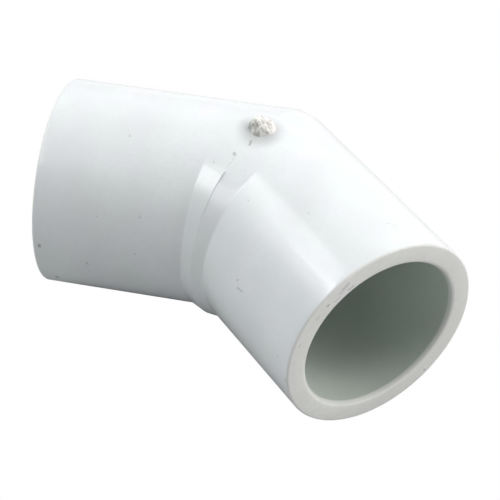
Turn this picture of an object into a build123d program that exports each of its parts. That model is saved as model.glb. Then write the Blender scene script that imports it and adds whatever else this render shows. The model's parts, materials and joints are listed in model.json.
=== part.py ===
from build123d import *
import math
import os

# A 45 degree slip elbow for 3/4 inch rigid conduit, moulded in PVC. Millimetres, +Z up, lying on its side
# with the bend plane level. The origin is the centre of the stop at the bottom of the inlet socket, where
# the end of the conduit seats. The inlet opens towards -X, and the outlet turns towards -Y.

# Driving dimensions
BEND_ANGLE = 45.0
HUB_DIAMETER = 34.0
SOCKET_DIAMETER = 26.9
SOCKET_DEPTH = 24.0
LAYING_LENGTH = 10.0
PASSAGE_DIAMETER = 20.9
MOUTH_LIP_RADIUS = 0.8
RIM_EDGE_RADIUS = 0.4
GORE_DIAMETER = 33.9
GORE_OFFSET = 2.36
CORNER_CUT = 0.9
WITNESS_HEIGHT = 0.15
WITNESS_WIDTH = 0.5
WITNESS_ARC = 170.0
WITNESS_ROOT_DEPTH = 0.5
GATE_BASE_DIAMETER = 5.0
GATE_TOP_DIAMETER = 4.4
GATE_HEIGHT = 1.3
GATE_SETBACK = 0.4

# Worked out from the driving dimensions
HUB_RADIUS = HUB_DIAMETER / 2
SOCKET_RADIUS = SOCKET_DIAMETER / 2
PASSAGE_RADIUS = PASSAGE_DIAMETER / 2
GORE_RADIUS = GORE_DIAMETER / 2
HALF_BEND = BEND_ANGLE / 2
REACH = 4 * HUB_RADIUS

# The two centre lines cross at the bend centre. The mitre plane halves the bend there.
BEND_CENTRE = Vector(LAYING_LENGTH, 0, 0)
INLET = Vector(-1, 0, 0)
OUTLET = Vector(math.cos(math.radians(BEND_ANGLE)), -math.sin(math.radians(BEND_ANGLE)), 0)
ACROSS = (OUTLET - INLET).normalized()
INSIDE = (OUTLET + INLET).normalized()


def upright_plane(origin, normal):
    """A plane that stands square to the bend plane, with its X pointing up."""
    return Plane(origin=origin, x_dir=(0, 0, 1), z_dir=normal)


def half_space(origin, normal):
    """A block that fills the space in front of an upright plane."""
    ahead = (Align.CENTER, Align.CENTER, Align.MIN)
    return upright_plane(origin, normal) * Box(2 * REACH, 2 * REACH, REACH, align=ahead)


def arm_rod(direction, radius, near, far):
    """A rod along one arm, from one distance from the bend centre to another."""
    ahead = (Align.CENTER, Align.CENTER, Align.MIN)
    start = upright_plane(BEND_CENTRE + direction * near, direction)
    return start * Cylinder(radius, far - near, align=ahead)


def cross_rod(radius, offset):
    """A rod square to the mitre plane, moved towards the inside of the bend."""
    return upright_plane(BEND_CENTRE + INSIDE * offset, ACROSS) * Cylinder(radius, REACH)


def mitred_rods(radius):
    """Two equal rods from the stop planes that meet on the mitre plane."""
    inlet = arm_rod(INLET, radius, -HUB_RADIUS, LAYING_LENGTH) & half_space(BEND_CENTRE, -ACROSS)
    outlet = arm_rod(OUTLET, radius, -HUB_RADIUS, LAYING_LENGTH) & half_space(BEND_CENTRE, ACROSS)
    return inlet + outlet


def gore():
    """The short round segment that stands proud on the inside of the bend, between the two stop planes."""
    segment = cross_rod(GORE_RADIUS, GORE_OFFSET) & half_space(BEND_CENTRE + INSIDE * GORE_OFFSET, INSIDE)
    for direction in (INLET, OUTLET):
        segment = segment - half_space(BEND_CENTRE + direction * LAYING_LENGTH, direction)
    return segment


def corner_cut():
    """What is taken off the sharp outer corner of the mitre, leaving a narrow blunt edge."""
    corner = HUB_RADIUS / math.cos(math.radians(HALF_BEND))
    block_plane = upright_plane(BEND_CENTRE - INSIDE * corner, ACROSS)
    block = block_plane * Box(HUB_DIAMETER, HUB_RADIUS, HUB_RADIUS)
    return block - cross_rod(HUB_RADIUS, HUB_RADIUS + CORNER_CUT - corner)


def bend_body():
    """The centre of the elbow: skin, gore, blunt corner, and the reduced passage through it."""
    skin = mitred_rods(HUB_RADIUS) + gore() - corner_cut()
    return skin - mitred_rods(PASSAGE_RADIUS)


def mouth_edges(tube, direction):
    """The inner and outer circles at the mouth of a tube."""
    furthest = tube.edges().filter_by(GeomType.CIRCLE).sort_by(Axis(BEND_CENTRE, direction))[-2:]
    return furthest.sort_by(SortBy.RADIUS)


def hub(direction):
    """A straight socket tube from its stop plane to its mouth, with the mouth's edges rounded."""
    mouth = LAYING_LENGTH + SOCKET_DEPTH
    outside = arm_rod(direction, HUB_RADIUS, LAYING_LENGTH, mouth)
    tube = outside - arm_rod(direction, SOCKET_RADIUS, LAYING_LENGTH, mouth)
    tube = fillet(mouth_edges(tube, direction)[0], MOUTH_LIP_RADIUS)
    return fillet(mouth_edges(tube, direction)[-1], RIM_EDGE_RADIUS)


def arc_slice(radius):
    """A thin slice of a disc on the mitre plane, from the crown of the gore round the inside of the bend."""
    uncentred = (Align.NONE, Align.NONE, Align.CENTER)
    plane = upright_plane(BEND_CENTRE + INSIDE * GORE_OFFSET, ACROSS)
    return plane * Cylinder(radius, WITNESS_WIDTH, arc_size=WITNESS_ARC, align=uncentred)


def mitre_witness_line(body):
    """The thin raised line that the mould leaves on the mitre plane, seated on the skin."""
    line = arc_slice(GORE_RADIUS + WITNESS_HEIGHT) - arc_slice(GORE_RADIUS - WITNESS_ROOT_DEPTH)
    return line - body


def gate_stub(body):
    """The broken-off injection gate on top of the bend, seated on the skin."""
    base_radius = GATE_BASE_DIAMETER / 2
    top_radius = GATE_TOP_DIAMETER / 2
    root_radius = 2 * base_radius - top_radius
    root = BEND_CENTRE - INSIDE * GATE_SETBACK + Vector(0, 0, HUB_RADIUS - GATE_HEIGHT)
    upright = (Align.CENTER, Align.CENTER, Align.MIN)
    stub = Pos(root) * Cone(root_radius, top_radius, 2 * GATE_HEIGHT, align=upright)
    return stub - body


body = bend_body()
parts = {
    "inlet_hub": hub(INLET),
    "outlet_hub": hub(OUTLET),
    "bend_body": body,
    "mitre_witness_line": mitre_witness_line(body),
    "gate_stub": gate_stub(body),
}

os.makedirs("parts", exist_ok=True)
for name, shape in parts.items():
    export_step(shape, f"parts/{name}.step")
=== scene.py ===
"""A moulded white PVC 45 degree conduit elbow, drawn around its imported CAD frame.

Lengths are in millimetres until a mesh, light or camera is made, where MM turns them into metres. A place on
an arm is given by its distance from the bend centre and its turn: degrees round the arm from the crown
(straight up), positive towards the outer side of the bend and negative towards the inside.
"""
import json
import math

import bmesh
import bpy
import numpy as np
from mathutils import Matrix, Vector, noise


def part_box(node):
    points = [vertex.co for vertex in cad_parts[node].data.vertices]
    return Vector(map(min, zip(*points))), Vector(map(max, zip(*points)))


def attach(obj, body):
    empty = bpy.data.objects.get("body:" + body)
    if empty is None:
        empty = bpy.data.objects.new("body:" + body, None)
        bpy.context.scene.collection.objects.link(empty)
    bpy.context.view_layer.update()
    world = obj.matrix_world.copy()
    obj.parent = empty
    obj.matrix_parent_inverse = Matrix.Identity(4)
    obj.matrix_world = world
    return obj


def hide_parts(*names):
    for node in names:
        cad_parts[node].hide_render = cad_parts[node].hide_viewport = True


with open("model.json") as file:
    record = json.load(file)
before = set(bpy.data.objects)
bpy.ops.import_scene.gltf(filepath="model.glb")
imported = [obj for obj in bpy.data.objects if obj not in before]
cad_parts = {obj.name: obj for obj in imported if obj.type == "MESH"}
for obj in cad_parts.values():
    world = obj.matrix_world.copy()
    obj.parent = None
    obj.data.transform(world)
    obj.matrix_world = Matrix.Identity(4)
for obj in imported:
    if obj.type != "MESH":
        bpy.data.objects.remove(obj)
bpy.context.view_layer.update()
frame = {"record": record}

MM = 0.001

# ---------------------------------------------------------------- the frame: mounts and boxes


def mount(name):
    """Position (mm), axis and dimensions of one of the record's mounts."""
    found = next(m for m in frame["record"]["mounts"] if m["name"] == name)
    return np.array(found["pos_m"]) / MM, np.array(found["axis"]), found["dims"]


def crossing(point_a, axis_a, point_b, axis_b):
    """Where two centre lines of the level bend plane cross."""
    spread = np.array([axis_a[:2], -axis_b[:2]]).T
    steps = np.linalg.solve(spread, (point_b - point_a)[:2])
    return point_a + axis_a * steps[0]


def unit(vector):
    """The vector's direction, at length 1."""
    return vector / np.linalg.norm(vector)


UP = np.array([0.0, 0.0, 1.0])
INLET_STOP, INLET, SOCKET = mount("inlet_socket")
OUTLET_STOP, OUTLET, _ = mount("outlet_socket")
CENTRE = crossing(INLET_STOP, INLET, OUTLET_STOP, OUTLET)
INSIDE = unit(INLET + OUTLET)
ACROSS = unit(OUTLET - INLET)
SIN_HALF = float(INSIDE @ INLET)
COS_HALF = float(ACROSS @ OUTLET)

HUB_LOW, HUB_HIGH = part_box("inlet_hub")
HUB_RADIUS = HUB_HIGH.z / MM
STOP = float(np.linalg.norm(INLET_STOP - CENTRE))
MOUTH = STOP - HUB_LOW.x / MM
SOCKET_RADIUS = SOCKET["r_mm"]
LIP_RADIUS = MOUTH - STOP - SOCKET["length_mm"]

GATE_LOW, GATE_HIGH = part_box("gate_stub")
GATE_PEAK = GATE_HIGH.z / MM - HUB_RADIUS
GATE_RADIUS = (GATE_HIGH.x - GATE_LOW.x) / 2 / MM
GATE_CENTRE = np.array([(GATE_LOW.x + GATE_HIGH.x) / 2, (GATE_LOW.y + GATE_HIGH.y) / 2, 0]) / MM
GATE_CENTRE[2] = HUB_RADIUS

# ---------------------------------------------------------------- shape of the moulding

# Radii and offsets in millimetres, and how far the change-over from one surface to the next is rounded.
PASSAGE_RADIUS = 10.45
STOP_EDGE_RADIUS = 0.3
RIM_EDGE_RADIUS = 0.4
GORE_OFFSET = 2.31
CREASE_BLEND = 0.10
CORNER_CUT = 0.9
CORNER_BLEND = 0.12

# The low ridge that the gore rises to on the mitre plane: the lean of its faces, in degrees.
RIDGE_LEAN_INLET = 4.6
RIDGE_LEAN_OUTLET = 3.8
RIDGE_LEAN_UNDER = 9.0
# Where the ridge starts, in degrees round the gore. From there on the inlet face comes in over RIDGE_STEP and
# the outlet face over the two angles of RIDGE_EASE.
RIDGE_START = 25.5
RIDGE_STEP = 2.0
RIDGE_EASE = (-4.0, 12.0)
# In degrees round the gore: where its two faces become one, where it leans more, and where it dies away.
RIDGE_MERGE = (44.0, 60.0)
RIDGE_UNDER = (65.0, 110.0)
RIDGE_END = (140.0, 180.0)
# The width of the step between the two faces, in millimetres along the outlet arm.
STEP_WIDTH = 0.06

# The shallow moat round the gate, in millimetres.
DISH_RADIUS = 2.6
DISH_WIDTH = 1.1
DISH_DEPTH = 0.24

# The mitre curve and the gore are each found by a few rounds of correction.
GORE_ROUNDS = 4
MITRE_ROUNDS = 8
# The least values that anything is divided by.
TINY = 1e-6
SMALL_RISE = 1e-3


def smooth_max(a, b, blend):
    """The larger of two lengths, with the change-over rounded."""
    blend = np.maximum(blend, TINY)
    near = np.maximum(blend - np.abs(a - b), 0)
    return np.maximum(a, b) + near * near / (4 * blend)


def cross_rod_radius(distance, turn, offset, radius):
    """Radius from an arm's centre line to a rod that lies square to the mitre plane.

    The rod's centre line is moved by offset towards the inside of the bend. Between that centre line and
    the arm's crown the rod's top is carried on level.
    """
    inward = -np.sin(turn) * COS_HALF
    rise = np.cos(turn)
    start = SIN_HALF * distance - offset
    a = inward**2 + rise**2
    b = start * inward
    c = start**2 - radius**2
    round_part = (-b + np.sqrt(np.maximum(b * b - a * c, 0))) / a
    level_part = radius / np.maximum(np.abs(rise), SMALL_RISE)
    side = np.where(offset > 0, 1, -1)
    beside = (start + inward * level_part) * side < 0
    return np.where(beside, level_part, round_part)


def smooth_step(low, high, value):
    """0 below low and 1 above high, with an eased change between them."""
    share = np.clip((value - low) / (high - low), 0, 1)
    return share * share * (3 - 2 * share)


def ridge_lean(around, inlet_side):
    """Lean of the ridge's two faces. The angle runs round the gore, from 0 at its crown to 180 below.

    The inlet face starts sharply and the outlet face gently. The inlet face leans more, which leaves a
    small step on the mitre plane until the two lean alike.
    """
    start, full = RIDGE_EASE
    inlet_face = smooth_step(RIDGE_START, RIDGE_START + RIDGE_STEP, around) * RIDGE_LEAN_INLET
    outlet_face = smooth_step(RIDGE_START + start, RIDGE_START + full, around) * RIDGE_LEAN_OUTLET
    outlet_face = outlet_face + (inlet_face - outlet_face) * smooth_step(*RIDGE_MERGE, around)
    top = np.where(inlet_side, inlet_face, outlet_face)
    under = smooth_step(*RIDGE_UNDER, around)
    return (top + (RIDGE_LEAN_UNDER - top) * under) * (1 - smooth_step(*RIDGE_END, around))


def ridge_rise(distance, turn, radius, inlet_side):
    """How far the gore stands above its plain rod: it rises to a low ridge on the mitre plane."""
    inward = SIN_HALF * distance - GORE_OFFSET - COS_HALF * radius * np.sin(turn)
    height = radius * np.cos(turn)
    around = np.arctan2(np.maximum(inward, 0), height)
    slope = np.tan(np.radians(ridge_lean(np.degrees(around), inlet_side)))
    crease = (COS_HALF * GORE_OFFSET - HUB_RADIUS * (1 - COS_HALF) * np.sin(around)) / SIN_HALF
    across = COS_HALF * distance + SIN_HALF * radius * np.sin(turn)
    return slope * np.maximum(crease - np.abs(across), 0)


def gore_radius(distance, turn, inlet_side):
    """Radius from an arm's centre line to the gore."""
    radius = cross_rod_radius(distance, turn, GORE_OFFSET, HUB_RADIUS)
    for _ in range(GORE_ROUNDS):
        rod = HUB_RADIUS + ridge_rise(distance, turn, radius, inlet_side)
        radius = cross_rod_radius(distance, turn, GORE_OFFSET, rod)
    return radius


def dish(points):
    """How deep the moat round the gate is, at points on the skin."""
    away = np.linalg.norm((points - GATE_CENTRE)[..., :2], axis=-1)
    over = points[..., 2] > 0
    return DISH_DEPTH * np.exp(-(((away - DISH_RADIUS) / DISH_WIDTH) ** 2)) * over


def skin_radius(arm, distance, turn):
    """Outer radius of the moulding round an arm, between the mitre plane and the stop."""
    inner = np.sin(turn) < 0
    blend = CREASE_BLEND * np.abs(np.sin(turn))
    with_gore = smooth_max(HUB_RADIUS, gore_radius(distance, turn, arm is INLET), blend)
    corner = HUB_RADIUS / COS_HALF
    cutter = cross_rod_radius(distance, turn, HUB_RADIUS + CORNER_CUT - corner, HUB_RADIUS)
    blend = CORNER_BLEND * np.abs(np.sin(turn))
    with_cut = -smooth_max(-HUB_RADIUS, -cutter, blend)
    return np.where(inner, with_gore, with_cut)


def outer_side(arm):
    """The level direction square to an arm, towards the outer side of the bend."""
    return unit((INSIDE @ arm) * arm - INSIDE)


def place(arm, distance, turn, radius):
    """Points at a distance along an arm, a turn round it and a radius from its centre line."""
    distance, turn, radius = np.broadcast_arrays(distance, turn, radius)
    round_part = np.cos(turn)[..., None] * UP + np.sin(turn)[..., None] * outer_side(arm)
    return CENTRE + distance[..., None] * arm + radius[..., None] * round_part


# ---------------------------------------------------------------- mesh tools

COLUMNS = 288
SHARP_ANGLE = 35.0


def turns():
    """The columns of every ring: turns in radians, from the bottom up the inside and down the outer side."""
    return np.linspace(-math.pi, math.pi, COLUMNS, endpoint=False) + math.pi / COLUMNS


def mesh_object(name, points, faces, sharp_angle=SHARP_ANGLE):
    """A piece from points in millimetres, smooth except where two faces meet sharply."""
    mesh = bpy.data.meshes.new(name)
    mesh.from_pydata([tuple(p) for p in points * MM], [], faces)
    work = bmesh.new()
    work.from_mesh(mesh)
    bmesh.ops.recalc_face_normals(work, faces=work.faces)
    for face in work.faces:
        face.smooth = True
    for edge in work.edges:
        edge.smooth = edge.calc_face_angle(0) < math.radians(sharp_angle)
    work.to_mesh(mesh)
    work.free()
    piece = bpy.data.objects.new(name, mesh)
    bpy.context.scene.collection.objects.link(piece)
    return piece


def paint(piece, painted_shade):
    """Writes how much painted shade each point of a piece carries, for its material to read."""
    layer = piece.data.attributes.new("painted_shade", "FLOAT", "POINT")
    layer.data.foreach_set("value", np.array(painted_shade, dtype=np.float32))


def wrapped_faces(rows, columns, close_rows):
    """Quads of a grid whose columns run all the way round, and whose rows do too if asked."""
    faces = []
    for row in range(rows if close_rows else rows - 1):
        below = (row + 1) % rows
        here, there = row * columns, below * columns
        for column in range(columns):
            beside = (column + 1) % columns
            faces.append((here + column, here + beside, there + beside, there + column))
    return faces


def capped_faces(rows, columns):
    """Quads of a grid whose columns run all the way round, closed at its first and last row."""
    last = (rows - 1) * columns
    faces = wrapped_faces(rows, columns, False)
    faces.append(tuple(range(columns)))
    faces.append(tuple(last + column for column in range(columns)))
    return faces


def ring_solid(name, rings, zones):
    """A closed solid from rings that lead round its section and back to the first.

    Each zone is a material and the number of the ring at which it starts.
    """
    rings = np.array(rings)
    rows, columns = rings.shape[:2]
    piece = mesh_object(name, rings.reshape(-1, 3), wrapped_faces(rows, columns, True))
    for material, _ in zones:
        piece.data.materials.append(material)
    starts = np.array([start for _, start in zones])
    for polygon in piece.data.polygons:
        row = polygon.index // columns
        polygon.material_index = int(np.searchsorted(starts, row, side="right")) - 1
    return piece


# ---------------------------------------------------------------- the pieces

# Rows of the bend's skin: how many lie between the mitre plane and the crease, how they bunch there, how
# many cross the crease within the shoulder on either side of it, and how many lead on to the stop.
MITRE_ROWS = 18
MITRE_BUNCHING = 1.4
CREASE_ROWS = 11
CREASE_SHOULDER = 0.45
STOP_ROWS = 5
OUTER_CREASE_SHIFT = 3.0

# Rows of the passage, of a hub's skin and bore, of a small edge, of the lip, and of the lip's part that takes
# painted shade.
PASSAGE_ROWS = 8
HUB_SKIN_ROWS = 25
HUB_BORE_ROWS = 14
EDGE_ROWS = 6
LIP_ROWS = 8
LIP_SHADE_ROWS = 4


def crease_distance(turn):
    """Where the gore's edge lies along an arm. On the outer side it only spaces the rows."""
    inside = np.maximum(-np.sin(turn), 0)
    outside = np.maximum(np.sin(turn), 0)
    edge = (GORE_OFFSET + HUB_RADIUS * (1 - COS_HALF) * inside) / SIN_HALF
    return edge - OUTER_CREASE_SHIFT * outside


def mitre_distance(arm, turn):
    """Where the skin meets the mitre plane along an arm."""
    distance = -HUB_RADIUS * np.sin(turn) * SIN_HALF / COS_HALF
    for _ in range(MITRE_ROUNDS):
        distance = -skin_radius(arm, distance, turn) * np.sin(turn) * SIN_HALF / COS_HALF
    return distance


def bend_rows(arm):
    """Rings of the skin from the mitre plane out to the stop plane. The outlet's leave room for the step."""
    turn = turns()
    mitre = mitre_distance(arm, turn)
    if arm is OUTLET:
        mitre = mitre + STEP_WIDTH
    crease = crease_distance(turn)
    near = crease - CREASE_SHOULDER
    far = crease + CREASE_SHOULDER
    places = [mitre + (near - mitre) * t**MITRE_BUNCHING for t in np.linspace(0, 1, MITRE_ROWS)[:-1]]
    places += [crease + CREASE_SHOULDER * t for t in np.linspace(-1, 1, CREASE_ROWS)]
    places += [far + (STOP - far) * t for t in np.linspace(0, 1, STOP_ROWS)[1:]]
    rows = []
    for distance in places:
        radius = skin_radius(arm, distance, turn)
        sunk = radius - dish(place(arm, distance, turn, radius))
        rows.append(place(arm, distance, turn, sunk))
    return rows


def passage_rows(arm):
    """Rings of the reduced passage from the mitre plane out to the stop plane, with the stop shoulder."""
    turn = turns()
    mitre = -PASSAGE_RADIUS * np.sin(turn) * SIN_HALF / COS_HALF
    edge = STOP - STOP_EDGE_RADIUS
    shares = np.linspace(0, 1, PASSAGE_ROWS)
    rows = [place(arm, mitre + (edge - mitre) * t, turn, PASSAGE_RADIUS) for t in shares]
    rows += quarter_round(arm, edge, PASSAGE_RADIUS + STOP_EDGE_RADIUS, STOP_EDGE_RADIUS, -90, 0)[1:]
    rows.append(place(arm, STOP, turn, SOCKET_RADIUS))
    return rows


def quarter_round(arm, distance, radius, size, start, stop, rows=EDGE_ROWS):
    """Rings round a rounded edge. The angle is 0 along the arm, 90 away from its centre line."""
    rings = []
    for angle in np.radians(np.linspace(start, stop, rows)):
        rings.append(place(arm, distance + size * math.cos(angle), turns(), radius + size * math.sin(angle)))
    return rings


def bend_body(skin, bore):
    """The centre of the elbow, with its gore, ridge, blunt corner, stop shoulders and reduced passage."""
    inlet_skin = bend_rows(INLET)
    outlet_skin = bend_rows(OUTLET)
    rings = inlet_skin[::-1] + outlet_skin
    bore_start = len(rings) - 1
    # The passage takes the darker bore material: painted shade inside the elbow.
    rings += passage_rows(OUTLET)[::-1] + passage_rows(INLET)[1:]
    return ring_solid("bend_body_moulded", rings, ((skin, 0), (bore, bore_start)))


def hub(name, arm, skin, rim, lip, bore):
    """A socket tube: skin, rounded rim, inner lip, bore, and the seat against the bend body."""
    turn = turns()
    skin_end = MOUTH - RIM_EDGE_RADIUS
    bore_end = MOUTH - LIP_RADIUS
    rings = [place(arm, d, turn, HUB_RADIUS) for d in np.linspace(STOP, skin_end, HUB_SKIN_ROWS)]
    rim_start = len(rings)
    rings += quarter_round(arm, skin_end, HUB_RADIUS - RIM_EDGE_RADIUS, RIM_EDGE_RADIUS, 90, 0)[1:]
    rings.append(place(arm, MOUTH, turn, (HUB_RADIUS + SOCKET_RADIUS) / 2))
    rings += quarter_round(arm, bore_end, SOCKET_RADIUS + LIP_RADIUS, LIP_RADIUS, 0, -90, LIP_ROWS)
    bore_start = len(rings) - 1
    # The lip's last rows take a darker material and the bore a darker one still: painted shade inside the
    # socket.
    lip_start = bore_start - LIP_SHADE_ROWS
    rings += [place(arm, d, turn, SOCKET_RADIUS) for d in np.linspace(bore_end, STOP, HUB_BORE_ROWS)[1:]]
    return ring_solid(name, rings, ((skin, 0), (rim, rim_start), (lip, lip_start), (bore, bore_start)))


# The bead on the mitre plane: its first and last turn in degrees, and its size in millimetres.
WITNESS_START = -4.0
WITNESS_END = -168.0
WITNESS_STEPS = 420
WITNESS_SHARP_ANGLE = 80.0
WITNESS_HALF_WIDTH = 0.11
WITNESS_HEIGHT = 0.06
WITNESS_ROOT = 0.12
# At each end it swells over one part in WITNESS_TAPER of its length. Away from its painted shade it keeps
# these shares of its height and width, and everywhere it is sunk by a share of its full height.
WITNESS_TAPER = 30
WITNESS_UNSHADED_HEIGHT = 0.1
WITNESS_UNSHADED_WIDTH = 0.4
WITNESS_SUNK = 0.2
# Its section: how far across in half widths, and how high in heights. A root on either side closes it.
WITNESS_SECTION = ((-0.8, 0.55), (0, 1.0), (0.7, 0.6))
# Its unevenness is a middle value and a swing, and it wanders to the side by up to this many millimetres.
WITNESS_UNEVEN = (0.8, 0.5)
WITNESS_WANDER = 0.05
# Stretches of it painted darker, as painted shade of the step on the mitre plane: first turn, last turn and
# darkness. There the bead is also taller and wider. Then how they fade at their ends, in degrees, and how
# uneven they are.
WITNESS_SHADE = ((-21, -56, 0.6), (-60, -63, 0.4))
WITNESS_SHADE_FADE_IN = 2
WITNESS_SHADE_FADE_OUT = (-3, 1)
WITNESS_SHADE_UNEVEN = (0.75, 0.5)
# Noise along it: waves to its length, and where in the noise it starts.
SIZE_NOISE = (60, 0)
WANDER_NOISE = (25, 5)
WITNESS_SHADE_NOISE = (90, 3)


def ripple(share, waves, start):
    """Smooth noise at a share of the bead's length."""
    return noise.noise(Vector((share * waves, start, 0)))


def witness_shade(turn):
    """How much painted shade the bead carries at a turn, in degrees: the shade of the step on the mitre
    plane.
    """
    amounts = []
    for first, last, dark in WITNESS_SHADE:
        begun = smooth_step(first + WITNESS_SHADE_FADE_IN, first - WITNESS_SHADE_FADE_IN, turn)
        left = smooth_step(last + WITNESS_SHADE_FADE_OUT[0], last + WITNESS_SHADE_FADE_OUT[1], turn)
        amounts.append(dark * begun * left)
    return max(amounts)


def witness_ring(turn, share):
    """One section across the bead, and its painted shade. Away from the painted shade it lies under the skin.
    """
    angle = np.radians([turn])
    distance = mitre_distance(INLET, angle)
    radius = skin_radius(INLET, distance, angle)
    sunk = radius - dish(place(INLET, distance, angle, radius))
    foot = place(INLET, distance, angle, sunk)[0]
    away = unit(foot - CENTRE - GORE_OFFSET * INSIDE)
    ends = min(1.0, share * WITNESS_TAPER, (1 - share) * WITNESS_TAPER)
    size = ends * (WITNESS_UNEVEN[0] + WITNESS_UNEVEN[1] * ripple(share, *SIZE_NOISE))
    # Painted shade of the step on the mitre plane; the bead is also taller and wider there.
    darkening = witness_shade(turn)
    tall = WITNESS_UNSHADED_HEIGHT + (1 - WITNESS_UNSHADED_HEIGHT) * darkening
    height = WITNESS_HEIGHT * (size * tall - WITNESS_SUNK)
    half_width = WITNESS_HALF_WIDTH * (WITNESS_UNSHADED_WIDTH + (1 - WITNESS_UNSHADED_WIDTH) * size * darkening)
    middle = foot + WITNESS_WANDER * ripple(share, *WANDER_NOISE) * ACROSS
    section = [(side, rise * height) for side, rise in WITNESS_SECTION]
    section = [(-1, -WITNESS_ROOT), *section, (1, -WITNESS_ROOT)]
    ring = [middle + ACROSS * side * half_width + away * rise for side, rise in section]
    return ring, darkening * (WITNESS_SHADE_UNEVEN[0] + WITNESS_SHADE_UNEVEN[1] * ripple(share, *WITNESS_SHADE_NOISE))


def witness_line(material):
    """The uneven bead along the mitre plane, from the gate round the inside of the bend."""
    rings, painted_shade = [], []
    for share in np.linspace(0, 1, WITNESS_STEPS):
        ring, darkening = witness_ring(WITNESS_START + (WITNESS_END - WITNESS_START) * share, share)
        rings.append(ring)
        painted_shade += [darkening] * len(ring)
    rings = np.array(rings)
    points = rings.reshape(-1, 3)
    faces = capped_faces(*rings.shape[:2])
    piece = mesh_object("mitre_witness_line_moulded", points, faces, WITNESS_SHARP_ANGLE)
    piece.data.materials.append(material)
    paint(piece, painted_shade)
    return piece


GATE_RINGS = 60
GATE_SECTORS = 132
GATE_SHARP_ANGLE = 60.0
# The innermost ring's radius, in gaps between rings.
GATE_FIRST_RING = 0.6
# How deep the disc's edge goes in, in millimetres, and from which share of its radius it starts to sink.
GATE_ROOT = 0.9
GATE_SINK_START = 0.68
# In gate radii: the middle of the torn mass, the radius of its edge, and how far the flank spreads outwards
# and inwards from there.
GATE_MIDDLE = (-0.17, 0.04)
GATE_EDGE = 0.74
GATE_FLANK = (0.24, 0.18)
# The torn face's height at the middle and its tilt across and towards the outside, in gate heights.
GATE_LEVEL = 0.54
GATE_TILT = (-0.52, 0.36)
# Layers of noise: strength, waves to a gate radius, and where in the noise the layer starts.
GATE_NOISE_LEVEL = 0.7
GATE_EDGE_NOISE = ((0.22, 2.4, (3, 1, 0)),)
GATE_LUMPS = ((0.60, 2.4, (4, 6, 0)), (0.34, 4.8, (1, 9, 0)), (0.13, 9.0, (0, 0, 0)))
# Painted shade on the flank of the gate that faces the inside of the bend: where it begins and is full, in
# gate radii, and how that edge slants. It is broken into patches by noise: a middle value and a swing, waves
# to a gate radius, and the least that is left between.
GATE_SHADE_FLANK = (0.25, -0.3)
GATE_SHADE_SLANT = 0.15
GATE_SHADE_PATCHES = (0.65, 1.1)
GATE_SHADE_RATE = 3.4
GATE_SHADE_NOISE_LEVEL = 4
GATE_SHADE_LEAST = 0.25


def layered_noise(spot, layers):
    """Layers of noise added up at a place on the gate."""
    return sum(strength * noise.noise(spot * rate + Vector(start)) for strength, rate, start in layers)


def gate_height(x, y):
    """Height of the torn gate above the crown. The place is in gate radii: x across, y to the outside."""
    spot = Vector((x, y, GATE_NOISE_LEVEL))
    far = math.hypot(x - GATE_MIDDLE[0], y - GATE_MIDDLE[1])
    edge = GATE_EDGE + layered_noise(spot, GATE_EDGE_NOISE)
    wall = float(smooth_step(edge + GATE_FLANK[0], edge - GATE_FLANK[1], far))
    face = GATE_LEVEL + GATE_TILT[0] * x + GATE_TILT[1] * y + layered_noise(spot, GATE_LUMPS)
    return GATE_PEAK * min(wall * max(face, 0.0), 1.0)


def gate_painted_shade(x, y):
    """Painted shade on the torn flank of the gate that faces the inside of the bend."""
    flank = float(smooth_step(*GATE_SHADE_FLANK, y + GATE_SHADE_SLANT * x))
    spot = Vector((x, y, GATE_SHADE_NOISE_LEVEL)) * GATE_SHADE_RATE
    patches = GATE_SHADE_PATCHES[0] + GATE_SHADE_PATCHES[1] * noise.noise(spot)
    return flank * min(max(patches, GATE_SHADE_LEAST), 1)


def gate_stub(material):
    """The stub left where the gate was snapped off: a low torn disc with its root in the skin."""
    points, painted_shade = [], []
    for ring in range(GATE_RINGS):
        far = (ring + GATE_FIRST_RING) / (GATE_RINGS - 1 + GATE_FIRST_RING)
        sink = GATE_ROOT * max(far - GATE_SINK_START, 0) / (1 - GATE_SINK_START)
        for sector in range(GATE_SECTORS):
            angle = 2 * math.pi * sector / GATE_SECTORS
            x, y = far * math.cos(angle), far * math.sin(angle)
            rise = gate_height(x, y) - sink
            points.append(GATE_CENTRE + GATE_RADIUS * (x * ACROSS - y * INSIDE) + rise * UP)
            # Painted shade on the flank that faces the inside of the bend.
            painted_shade.append(gate_painted_shade(x, y))
    faces = capped_faces(GATE_RINGS, GATE_SECTORS)
    piece = mesh_object("gate_stub_torn", np.array(points), faces, GATE_SHARP_ANGLE)
    piece.data.materials.append(material)
    paint(piece, painted_shade)
    return piece


# ---------------------------------------------------------------- materials


def link(tree, source, target):
    """Joins an output socket to an input socket."""
    tree.links.new(source, target)


def new_material(name):
    """A material with a principled shader, its node tree, and the shader."""
    material = bpy.data.materials.new(name)
    material.use_nodes = True
    tree = material.node_tree
    tree.nodes.clear()
    output = tree.nodes.new("ShaderNodeOutputMaterial")
    shader = tree.nodes.new("ShaderNodeBsdfPrincipled")
    link(tree, shader.outputs[0], output.inputs[0])
    return material, tree, shader


def noise_texture(tree, where, scale, detail, rough):
    """Noise between 0 and 1 at a place in the material."""
    made = tree.nodes.new("ShaderNodeTexNoise")
    made.inputs["Scale"].default_value = scale
    made.inputs["Detail"].default_value = detail
    made.inputs["Roughness"].default_value = rough
    link(tree, where, made.inputs["Vector"])
    return made.outputs["Fac"]


def ramp(tree, value, low, high, out_low, out_high, smooth=False):
    """A value carried from one range to another, and held at the ends."""
    made = tree.nodes.new("ShaderNodeMapRange")
    made.clamp = True
    made.interpolation_type = "SMOOTHSTEP" if smooth else "LINEAR"
    for key, number in (("From Min", low), ("From Max", high), ("To Min", out_low), ("To Max", out_high)):
        made.inputs[key].default_value = number
    link(tree, value, made.inputs["Value"])
    return made.outputs["Result"]


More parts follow.
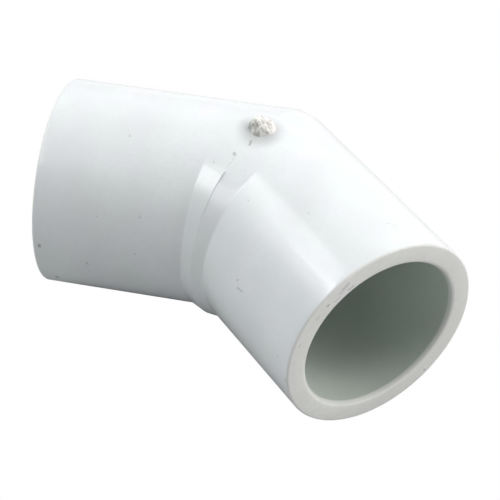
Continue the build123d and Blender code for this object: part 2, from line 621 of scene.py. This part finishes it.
def join(tree, kind, first, second):
    """Two values, or a value and a number, joined by a math node."""
    made = tree.nodes.new("ShaderNodeMath")
    made.operation = kind
    for slot_number, item in enumerate((first, second)):
        if isinstance(item, (int, float)):
            made.inputs[slot_number].default_value = item
        else:
            link(tree, item, made.inputs[slot_number])
    return made.outputs[0]


def blend_colour(tree, mask, base, tint):
    """The base colour where the mask is 0 and the tint where it is 1. Each is a socket or three numbers."""
    made = tree.nodes.new("ShaderNodeMix")
    made.data_type = "RGBA"
    link(tree, mask, made.inputs["Factor"])
    for key, item in (("A", base), ("B", tint)):
        socket = next(i for i in made.inputs if i.name == key and i.type == "RGBA")
        if isinstance(item, tuple):
            socket.default_value = (*item, 1)
        else:
            link(tree, item, socket)
    return next(o for o in made.outputs if o.type == "RGBA")


# The share of a speck's radius that is fully dark, and the strength of the palest speck.
SPECK_CORE = 0.5
SPECK_PALEST = 0.25


def random_specks(tree, where, scale, size, share):
    """Sparse round specks of dirt: one in some of the cells of a Voronoi pattern."""
    cells = tree.nodes.new("ShaderNodeTexVoronoi")
    cells.inputs["Scale"].default_value = scale
    link(tree, where, cells.inputs["Vector"])
    near = ramp(tree, cells.outputs["Distance"], SPECK_CORE * size * scale, size * scale, 1, 0, True)
    parts = tree.nodes.new("ShaderNodeSeparateColor")
    link(tree, cells.outputs["Color"], parts.inputs[0])
    depth = ramp(tree, parts.outputs[0], 1 - share, 1, SPECK_PALEST, 1)
    chosen = join(tree, "GREATER_THAN", parts.outputs[0], 1 - share)
    return join(tree, "MULTIPLY", join(tree, "MULTIPLY", near, chosen), depth)


def vector_math(tree, kind, first, second, output=0):
    """Two vectors, each a socket or three numbers, joined by a vector math node."""
    made = tree.nodes.new("ShaderNodeVectorMath")
    made.operation = kind
    for slot_number, item in enumerate((first, second)):
        if isinstance(item, bpy.types.NodeSocket):
            link(tree, item, made.inputs[slot_number])
        else:
            made.inputs[slot_number].default_value = item
    return made.outputs[output]


# Where a mark starts to fade and where it ends, in half widths.
MARK_CORE = 0.5
MARK_EDGE = 1.5
# The noise in the marks' outlines: waves to a metre, its middle value, and its swing in metres.
MARK_GRAIN = 2500
MARK_GRAIN_MIDDLE = (0.5, 0.5, 0.5)
MARK_SHAKE = (0.0004, 0.0004, 0.0004)


def mark(tree, where, centre, direction, half_length, half_width, strength):
    """A soft-edged mark on the skin: a dot, or a stroke if it has a length. Its sizes are in millimetres."""
    gap = vector_math(tree, "SUBTRACT", where, tuple(centre * MM))
    along = vector_math(tree, "DOT_PRODUCT", gap, tuple(direction), "Value")
    held = join(tree, "MAXIMUM", join(tree, "MINIMUM", along, half_length * MM), -half_length * MM)
    stroke = tree.nodes.new("ShaderNodeVectorMath")
    stroke.operation = "SCALE"
    stroke.inputs[0].default_value = tuple(direction)
    link(tree, held, stroke.inputs["Scale"])
    far = vector_math(tree, "DISTANCE", gap, stroke.outputs[0], "Value")
    return ramp(tree, far, MARK_CORE * half_width * MM, MARK_EDGE * half_width * MM, strength, 0, True)


# Marks: the arm, distance along it in hub radii, turn, radius in hub radii, slant (0 along the arm, 90 round
# it), half length and half width in millimetres, and strength.
SKIN_MARKS_AND_SHADOW = (
    # The first mark is a painted shadow round the foot of the gate.
    (INLET, 0.01, -1, 1, 90, 0.6, 3.0, 0.45),
    (INLET, 0.06, -10.8, 1, 90, 0.65, 0.24, 0.75),
    (INLET, 1.93, -88, 1, 90, 0.1, 0.28, 0.65),
    (INLET, 1.83, -118, 1, 90, 0.3, 0.30, 0.6),
    (INLET, 1.47, -96, 1, 60, 0.2, 0.18, 0.4),
    (INLET, 1.19, -17.6, 1, 90, 0.1, 0.20, 0.25),
    (INLET, 0.96, -61, 1, 90, 0.05, 0.24, 0.25),
    (INLET, 0.58, 30, 1, 0, 0.0, 0.16, 0.3),
    (INLET, 0.35, -26, 1, 0, 0.0, 0.14, 0.3),
    (INLET, 0.175, -20.2, 1, 60, 0.15, 0.28, 0.5),
    (OUTLET, 0.09, 7, 1, 40, 0.1, 0.14, 0.3),
    (OUTLET, 1.12, -70, 1, 10, 0.55, 0.14, 0.6),
    (OUTLET, 1.05, -67, 1, 60, 0.2, 0.12, 0.45),
    (OUTLET, 1.66, 17, 1, 65, 0.35, 0.10, 0.3),
    (OUTLET, 1.70, 19, 1, 10, 0.3, 0.10, 0.3),
    (OUTLET, 1.22, 39, 1, 30, 0.2, 0.12, 0.25),
    (OUTLET, 1.17, -14, 1, 20, 0.15, 0.12, 0.25),
    (OUTLET, 1.83, -82, 1, 0, 0.1, 0.14, 0.3),
    (OUTLET, 1.97, -92, 1, 90, 0.55, 0.10, 0.45),
)
RIM_MARKS = (
    (OUTLET, 2, -26, 0.92, 70, 0.7, 0.28, 0.34),
    (OUTLET, 2, -24, 0.86, 100, 0.5, 0.22, 0.34),
    (OUTLET, 2, -24, 0.94, 0, 0.0, 0.22, 0.34),
    (OUTLET, 2, -29, 0.90, 90, 0.4, 0.25, 0.28),
    (OUTLET, 2, -34, 0.87, 90, 0.5, 0.20, 0.28),
    (OUTLET, 2, -40, 0.905, 40, 0.15, 0.24, 0.55),
    (OUTLET, 2, -49, 0.91, 90, 0.3, 0.18, 0.25),
    (OUTLET, 2, -68, 0.94, 90, 0.2, 0.17, 0.25),
    (OUTLET, 2, 145, 0.94, 0, 0.0, 0.22, 0.7),
)


def mark_place(arm, distance, turn, radius, slant):
    """Where a mark's middle lies, and which way it runs. On the bend it lies on the skin or in the moat."""
    turn, slant = math.radians(turn), math.radians(slant)
    distance, radius = distance * HUB_RADIUS, radius * HUB_RADIUS
    if distance < STOP:
        radius = skin_radius(arm, distance, turn)
    centre = place(arm, distance, turn, radius)
    around = -math.sin(turn) * UP + math.cos(turn) * outer_side(arm)
    return centre - dish(centre) * UP, math.cos(slant) * arm + math.sin(slant) * around


def add_marks(tree, where, marks):
    """All the marks of one material, as a single mask. A little noise makes their outlines uneven."""
    shake = tree.nodes.new("ShaderNodeTexNoise")
    shake.inputs["Scale"].default_value = MARK_GRAIN
    link(tree, where, shake.inputs["Vector"])
    centred = vector_math(tree, "SUBTRACT", shake.outputs["Color"], MARK_GRAIN_MIDDLE)
    shaken = vector_math(tree, "MULTIPLY_ADD", centred, MARK_SHAKE)
    link(tree, where, shaken.node.inputs[2])
    total = None
    for arm, distance, turn, radius, slant, half_length, half_width, strength in marks:
        centre, direction = mark_place(arm, distance, turn, radius, slant)
        one = mark(tree, shaken, centre, direction, half_length, half_width, strength)
        total = one if total is None else join(tree, "MAXIMUM", total, one)
    return total


# The colour of dirt and of painted shade, and what the plastic's colour is multiplied by. The grain takes on
# a share of the shade.
DIRT_AND_SHADE = (0.30, 0.31, 0.30)
BLUISH = (1.008, 0.992, 1.012)
GREENISH = (0.98, 1.01, 0.99)
SHADE = 0.925
GRAIN_SHARE = 0.5

# Noise in the plastic: waves to a metre, detail and roughness, then the part of its range that is used.
CLOUD = (90, 3, 0.5)
CLOUD_RANGE = (0.35, 0.7)
GRAIN = (1400, 2, 0.6)
GRAIN_RANGE = (0.45, 0.75)
HUE = (130, 2, 0.5)
HUE_RANGE = (0.38, 0.62)
PEEL = (260, 2, 0.4)
# The clouds make the sheen uneven: the part of their range that does, and what it adds to the roughness.
SHEEN_RANGE = (0.3, 0.7)
SHEEN_SPREAD = (-0.03, 0.05)

# Two kinds of specks: cells to a metre, radius in metres, how common they are beside the other kind, and
# their strength.
LARGE_SPECKS = (160, 0.00022, 1.0, 0.6)
SMALL_SPECKS = (420, 0.00012, 1.2, 0.3)

# The height is in metres.
BUMP_HEIGHT = 0.00002
BUMP_STRENGTH = 0.5
BUMP_GRAIN = 0.25
PVC_IOR = 1.5


def plastic_tone(tree, where, cloud, grain, colour, grain_share):
    """The plastic's own colour: bluish and greenish areas, clouds of a darker shade, and a fine grain."""
    hue = ramp(tree, noise_texture(tree, where, *HUE), *HUE_RANGE, 0, 1)
    bluish = tuple(c * share for c, share in zip(colour, BLUISH))
    greenish = tuple(c * share for c, share in zip(colour, GREENISH))
    shade = tuple(c * SHADE for c in colour)
    tone = blend_colour(tree, hue, bluish, greenish)
    tone = blend_colour(tree, ramp(tree, cloud, *CLOUD_RANGE, 0, 1), tone, shade)
    return blend_colour(tree, ramp(tree, grain, *GRAIN_RANGE, 0, grain_share), tone, shade)


def plastic_darkening(tree, where, speck_share, marks, painted_shade_strength):
    """A mask of all the darkening: random specks of dirt, named marks among which is a painted shadow, and
    the painted shade written on a piece.
    """
    darkening = None
    for scale, size, common, strength in (LARGE_SPECKS, SMALL_SPECKS):
        specks = random_specks(tree, where, scale, size, common * speck_share)
        specks = join(tree, "MULTIPLY", specks, strength)
        darkening = specks if darkening is None else join(tree, "MAXIMUM", darkening, specks)
    if marks:
        darkening = join(tree, "MAXIMUM", darkening, add_marks(tree, where, marks))
    # Painted shade written on the piece's points.
    if painted_shade_strength:
        painted_shade = tree.nodes.new("ShaderNodeAttribute")
        painted_shade.attribute_name = "painted_shade"
        darkening = join(tree, "MAXIMUM", darkening, join(tree, "MULTIPLY", painted_shade.outputs["Fac"], painted_shade_strength))
    return darkening


def plastic_bump(tree, where, grain):
    """The orange peel of a moulded skin, with a little of the grain."""
    peel = noise_texture(tree, where, *PEEL)
    bump = tree.nodes.new("ShaderNodeBump")
    bump.inputs["Distance"].default_value = BUMP_HEIGHT
    bump.inputs["Strength"].default_value = BUMP_STRENGTH
    link(tree, join(tree, "ADD", peel, join(tree, "MULTIPLY", grain, BUMP_GRAIN)), bump.inputs["Height"])
    return bump.outputs[0]


def pvc_material(
    name, colour, roughness, speck_share=0.0, marks=(), painted_shade_strength=0.0, grain_share=GRAIN_SHARE
):
    """Moulded white PVC: faint mottling, uneven sheen, a soft orange peel, specks of dirt, named marks and
    painted shade.
    """
    material, tree, shader = new_material(name)
    where = tree.nodes.new("ShaderNodeTexCoord").outputs["Object"]
    cloud = noise_texture(tree, where, *CLOUD)
    grain = noise_texture(tree, where, *GRAIN)
    tone = plastic_tone(tree, where, cloud, grain, colour, grain_share)
    darkening = plastic_darkening(tree, where, speck_share, marks, painted_shade_strength)
    sheen = [roughness + spread for spread in SHEEN_SPREAD]
    link(tree, blend_colour(tree, darkening, tone, DIRT_AND_SHADE), shader.inputs["Base Color"])
    link(tree, ramp(tree, cloud, *SHEEN_RANGE, *sheen), shader.inputs["Roughness"])
    link(tree, plastic_bump(tree, where, grain), shader.inputs["Normal"])
    shader.inputs["IOR"].default_value = PVC_IOR
    return material


# ---------------------------------------------------------------- camera, floor, lights

# The camera's turn, height and roll in degrees, and its distance from the bend centre in hub radii.
CAMERA_TURN = 12.94
CAMERA_HEIGHT = 42.45
CAMERA_ROLL = -0.27
CAMERA_RADII = 18.137
# The sensor and the lens in millimetres, and the lens shift in sensor widths.
SENSOR = 36.0
LENS = 134.98
FRAMING = (-0.02380, -0.08259)


def way_out(turn, height):
    """The direction out from the elbow, from a turn about the vertical and a height, both in degrees.

    Turn 0 faces -Y and turn 90 faces +X.
    """
    turn, height = math.radians(turn), math.radians(height)
    level = math.cos(height)
    return Vector((math.sin(turn) * level, -math.cos(turn) * level, math.sin(height)))


def add_camera():
    """A long lens aimed along the line through the bend centre, with the picture framed by lens shift."""
    back = way_out(CAMERA_TURN, CAMERA_HEIGHT)
    data = bpy.data.cameras.new("camera")
    data.sensor_width = SENSOR
    data.lens = LENS
    data.shift_x, data.shift_y = FRAMING
    camera = bpy.data.objects.new("camera", data)
    aim = (-back).to_track_quat("-Z", "Y").to_matrix().to_4x4()
    roll = Matrix.Rotation(math.radians(CAMERA_ROLL), 4, "Z")
    where = Vector(CENTRE * MM) + back * CAMERA_RADII * HUB_RADIUS * MM
    camera.matrix_world = Matrix.Translation(where) @ aim @ roll
    bpy.context.scene.collection.objects.link(camera)
    bpy.context.scene.camera = camera


# The floor's size is in metres. The gloss sees it shine behind the elbow: how brightly, which way, and over
# which distances from the origin, in metres, the shine comes in and goes out again.
FLOOR_SIZE = 6.0
FLOOR_GREY = (0.35, 0.35, 0.35, 1)
WHITE = (1, 1, 1, 1)
SHINE = 0.4
SHINE_WAY = (0.5, 0.87, 0.0)
SHINE_IN = (0.01, 0.03)
SHINE_OUT = (0.06, 0.20)


def mix_shaders(tree, share, first, second):
    """The first shader where the share is 0, and the second where it is 1."""
    made = tree.nodes.new("ShaderNodeMixShader")
    for slot_number, socket in enumerate((share, first, second)):
        link(tree, socket, made.inputs[slot_number])
    return made.outputs[0]


def floor_material():
    """Evenly white to the camera, grey to the light that it throws back, and see-through from below."""
    material = bpy.data.materials.new("pale_floor")
    material.use_nodes = True
    tree = material.node_tree
    tree.nodes.clear()
    output = tree.nodes.new("ShaderNodeOutputMaterial")
    path = tree.nodes.new("ShaderNodeLightPath")
    geometry = tree.nodes.new("ShaderNodeNewGeometry")
    matt = tree.nodes.new("ShaderNodeBsdfDiffuse")
    matt.inputs["Color"].default_value = FLOOR_GREY
    glow = tree.nodes.new("ShaderNodeEmission")
    glow.inputs["Color"].default_value = WHITE
    clear = tree.nodes.new("ShaderNodeBsdfTransparent")
    away = vector_math(tree, "DOT_PRODUCT", geometry.outputs["Position"], SHINE_WAY, "Value")
    coming = ramp(tree, away, *SHINE_IN, 0, SHINE)
    going = ramp(tree, away, *SHINE_OUT, 1, 0)
    shine = join(tree, "MULTIPLY", join(tree, "MULTIPLY", coming, going), path.outputs["Is Glossy Ray"])
    white = join(tree, "MAXIMUM", shine, path.outputs["Is Camera Ray"])
    upper = mix_shaders(tree, white, matt.outputs[0], glow.outputs[0])
    both = mix_shaders(tree, geometry.outputs["Backfacing"], upper, clear.outputs[0])
    link(tree, both, output.inputs[0])
    return material


def add_floor():
    """A pale floor that the elbow lies on."""
    bpy.ops.mesh.primitive_plane_add(size=FLOOR_SIZE, location=(0, 0, -HUB_RADIUS * MM))
    floor = bpy.context.object
    floor.name = "floor"
    floor.data.materials.append(floor_material())


# How far away the soft boxes stand, in metres. Those from this turn on, beside and behind the elbow, are a
# little warmer.
BOX_DISTANCE = 1.4
WARM_FROM = 90
WARM_LIGHT = (1.03, 0.985, 0.97)
PLAIN_LIGHT = (1.0, 1.0, 1.0)
# Soft boxes: name, turn and height of the box as seen from the elbow, its width and depth, all in degrees,
# then its brightness, and True if it only shows in the gloss or False if it only lights the plastic.
SOFT_BOXES = (
    ("gloss_box", -106, 49, 24, 12, 3.2, True),
    ("gloss_low_box", -108, 34, 30, 14, 0.9, True),
    ("gloss_step_box", -84, 47, 20, 9, 4.8, True),
    ("gloss_step_low_box", -80, 39, 20, 8, 1.6, True),
    ("gloss_ridge_box", -60, 50, 26, 20, 3.0, True),
    ("left_high_box", -100, 55, 45, 30, 1.75, False),
    ("left_box", -110, 30, 45, 30, 2.9, False),
    ("front_left_box", -60, 40, 45, 30, 0.6, False),
    ("back_high_box", 135, 65, 45, 30, 3.4, False),
    ("back_box", 180, 35, 45, 30, 1.4, False),
    ("back_right_box", 135, 35, 45, 30, 1.2, False),
    ("right_box", 90, 35, 45, 30, 2.8, False),
    ("right_low_box", 90, 8, 45, 22, 3.4, False),
    ("front_low_box", 0, 8, 45, 22, 1.0, False),
    ("left_low_box", -80, 8, 45, 22, 0.6, False),
    ("front_left_low_box", -30, 8, 45, 22, 1.6, False),
    ("back_low_box", 180, 8, 45, 22, 2.6, False),
)


def soft_box(name, turn, height, wide, deep, glow, gloss):
    """A rectangular soft box that faces the bend centre: a highlight in the gloss, or a light that fills."""
    back = way_out(turn, height)
    data = bpy.data.lights.new(name, "AREA")
    data.shape = "RECTANGLE"
    data.size = 2 * BOX_DISTANCE * math.tan(math.radians(wide / 2))
    data.size_y = 2 * BOX_DISTANCE * math.tan(math.radians(deep / 2))
    data.energy = glow * math.pi * data.size * data.size_y
    data.color = WARM_LIGHT if turn >= WARM_FROM else PLAIN_LIGHT
    light = bpy.data.objects.new(name, data)
    light.location = Vector(CENTRE * MM) + back * BOX_DISTANCE
    light.rotation_mode = "QUATERNION"
    light.rotation_quaternion = back.to_track_quat("Z", "Y")
    light.visible_glossy = gloss
    light.visible_diffuse = not gloss
    bpy.context.scene.collection.objects.link(light)


def add_lights():
    """The soft boxes, and a white backdrop that only the camera sees."""
    for row in SOFT_BOXES:
        soft_box(*row)
    world = bpy.data.worlds.new("studio")
    bpy.context.scene.world = world
    world.use_nodes = True
    tree = world.node_tree
    backdrop = tree.nodes["Background"]
    backdrop.inputs["Color"].default_value = WHITE
    path = tree.nodes.new("ShaderNodeLightPath")
    link(tree, path.outputs["Is Camera Ray"], backdrop.inputs["Strength"])


# ---------------------------------------------------------------- assembly


def seat(piece, node):
    """Gives a piece its body, and hides the CAD node that it stands for."""
    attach(piece, "root")
    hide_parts(node)


bpy.context.scene.view_settings.view_transform = "Standard"

# Materials: name, colour and roughness, then what sets each apart.
skin = pvc_material("white_pvc_skin", (0.770, 0.818, 0.837), 0.17, speck_share=0.35, marks=SKIN_MARKS_AND_SHADOW)
rim = pvc_material(
    "white_pvc_rim", (0.79, 0.823, 0.803), 0.4, speck_share=0.5, marks=RIM_MARKS, grain_share=1.0
)
# The lip and bore are the same plastic painted darker and greener: painted shade inside the sockets and
# passage, with the greenish cast of light bounced inside.
lip = pvc_material("white_pvc_lip_painted_shade", (0.665, 0.703, 0.675), 0.4, speck_share=0.1)
bore = pvc_material("white_pvc_bore_painted_shade", (0.50, 0.565, 0.525), 0.4, speck_share=0.1)
# The bead and the torn gate carry painted shade, read from their points.
bead = pvc_material("white_pvc_witness", (0.76, 0.80, 0.81), 0.3, painted_shade_strength=0.3)
torn = pvc_material("broken_gate_torn", (0.88, 0.88, 0.845), 0.5, painted_shade_strength=0.8)

seat(hub("inlet_hub_moulded", INLET, skin, rim, lip, bore), "inlet_hub")
seat(hub("outlet_hub_moulded", OUTLET, skin, rim, lip, bore), "outlet_hub")
seat(bend_body(skin, bore), "bend_body")
seat(witness_line(bead), "mitre_witness_line")
seat(gate_stub(torn), "gate_stub")
add_camera()
add_floor()
add_lights()
